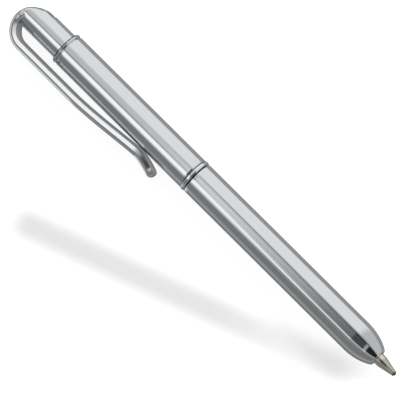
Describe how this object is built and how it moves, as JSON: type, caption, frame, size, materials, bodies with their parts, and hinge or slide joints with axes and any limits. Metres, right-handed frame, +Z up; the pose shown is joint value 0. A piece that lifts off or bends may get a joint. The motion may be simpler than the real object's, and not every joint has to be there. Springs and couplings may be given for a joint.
{
  "type": "mini ballpoint pen",
  "caption": "Slim metal mini ballpoint pen with a push top, a bent strip clip, a screwed two-part barrel and a click mechanism.",
  "frame": {"origin": "on the table under the middle of the pen's box, with the pen lying on its barrel and the clip's lower edge", "axes": "+X along the pen towards the writing tip, +Z up, -Y towards the clip"},
  "size_m": [0.1006, 0.0104, 0.0071],
  "materials": {
    "nickel": "satin polished nickel plate",
    "bright_nickel": "polished nickel plate",
    "brass": "turned",
    "refill_brass": "drawn tube",
    "tip_metal": "turned nickel silver",
    "spring_steel": "drawn wire",
    "white_plastic": "moulded",
    "black_plastic": "moulded",
    "rubber": "moulded",
    "ink": "paste"
  },
  "bodies": {
    "barrel": {"upper_barrel": "nickel", "mouth_collar": "bright_nickel", "screw_sleeve": "brass", "seal_ring": "rubber", "click_housing": "black_plastic", "return_spring": "spring_steel"},
    "turning_ring": {"centre_ring": "bright_nickel"},
    "front_barrel": {"lower_barrel": "nickel"},
    "push_cap": {"plunger_cap": "nickel", "cap_insert": "brass", "push_rod": "white_plastic"},
    "clip_arm": {"clip": "nickel"},
    "refill": {"refill_holder": "white_plastic", "spring_washer": "spring_steel", "refill_tube": "refill_brass", "refill_tip": "tip_metal", "ink_column": "ink", "ink_follower": "white_plastic"},
    "cam": {"index_cam": "white_plastic"},
    "ball": {"writing_ball": "spring_steel"}
  },
  "joints": [
    {"name": "barrel_unscrew", "type": "hinge", "parent": "barrel", "child": "turning_ring", "pos_m": [-0.00368, 0.00167, 0.00355], "axis": [1, 0, 0], "range_deg": [0, 1440]},
    {"name": "front_barrel_out", "type": "slide", "parent": "turning_ring", "child": "front_barrel", "axis": [1, 0, 0], "range_m": [0, 0.003]},
    {"name": "plunger_press", "type": "slide", "parent": "barrel", "child": "push_cap", "axis": [1, 0, 0], "range_m": [-0.0046, 0.001], "deforming": ["return_spring"]},
    {"name": "refill_advance", "type": "slide", "parent": "barrel", "child": "refill", "axis": [1, 0, 0], "range_m": [-0.0046, 0.001]},
    {"name": "cam_turn", "type": "hinge", "parent": "refill", "child": "cam", "pos_m": [-0.02248, 0.00167, 0.00355], "axis": [1, 0, 0], "range_deg": [-45.1, 9.9]},
    {"name": "clip_spring", "type": "hinge", "parent": "push_cap", "child": "clip_arm", "pos_m": [-0.04913, 0.00123, 0.00345], "axis": [0, 0.2273, -0.9738], "range_deg": [0, 3], "stiffness_Nm_per_rad": 0.15, "springref_deg": -0.57},
    {"name": "ball_roll", "type": "hinge", "parent": "refill", "child": "ball", "pos_m": [0.04991, 0.00167, 0.00355], "axis": [0, 1, 0], "continuous": true}
  ],
  "couplings": [
    {"joint": "barrel_unscrew", "follows": "front_barrel_out", "rad_per_m": 8377.5},
    {"joint": "refill_advance", "follows": "plunger_press", "ratio": 1},
    {"joint": "cam_turn", "follows": "plunger_press", "rad_per_m": 170.74}
  ]
}
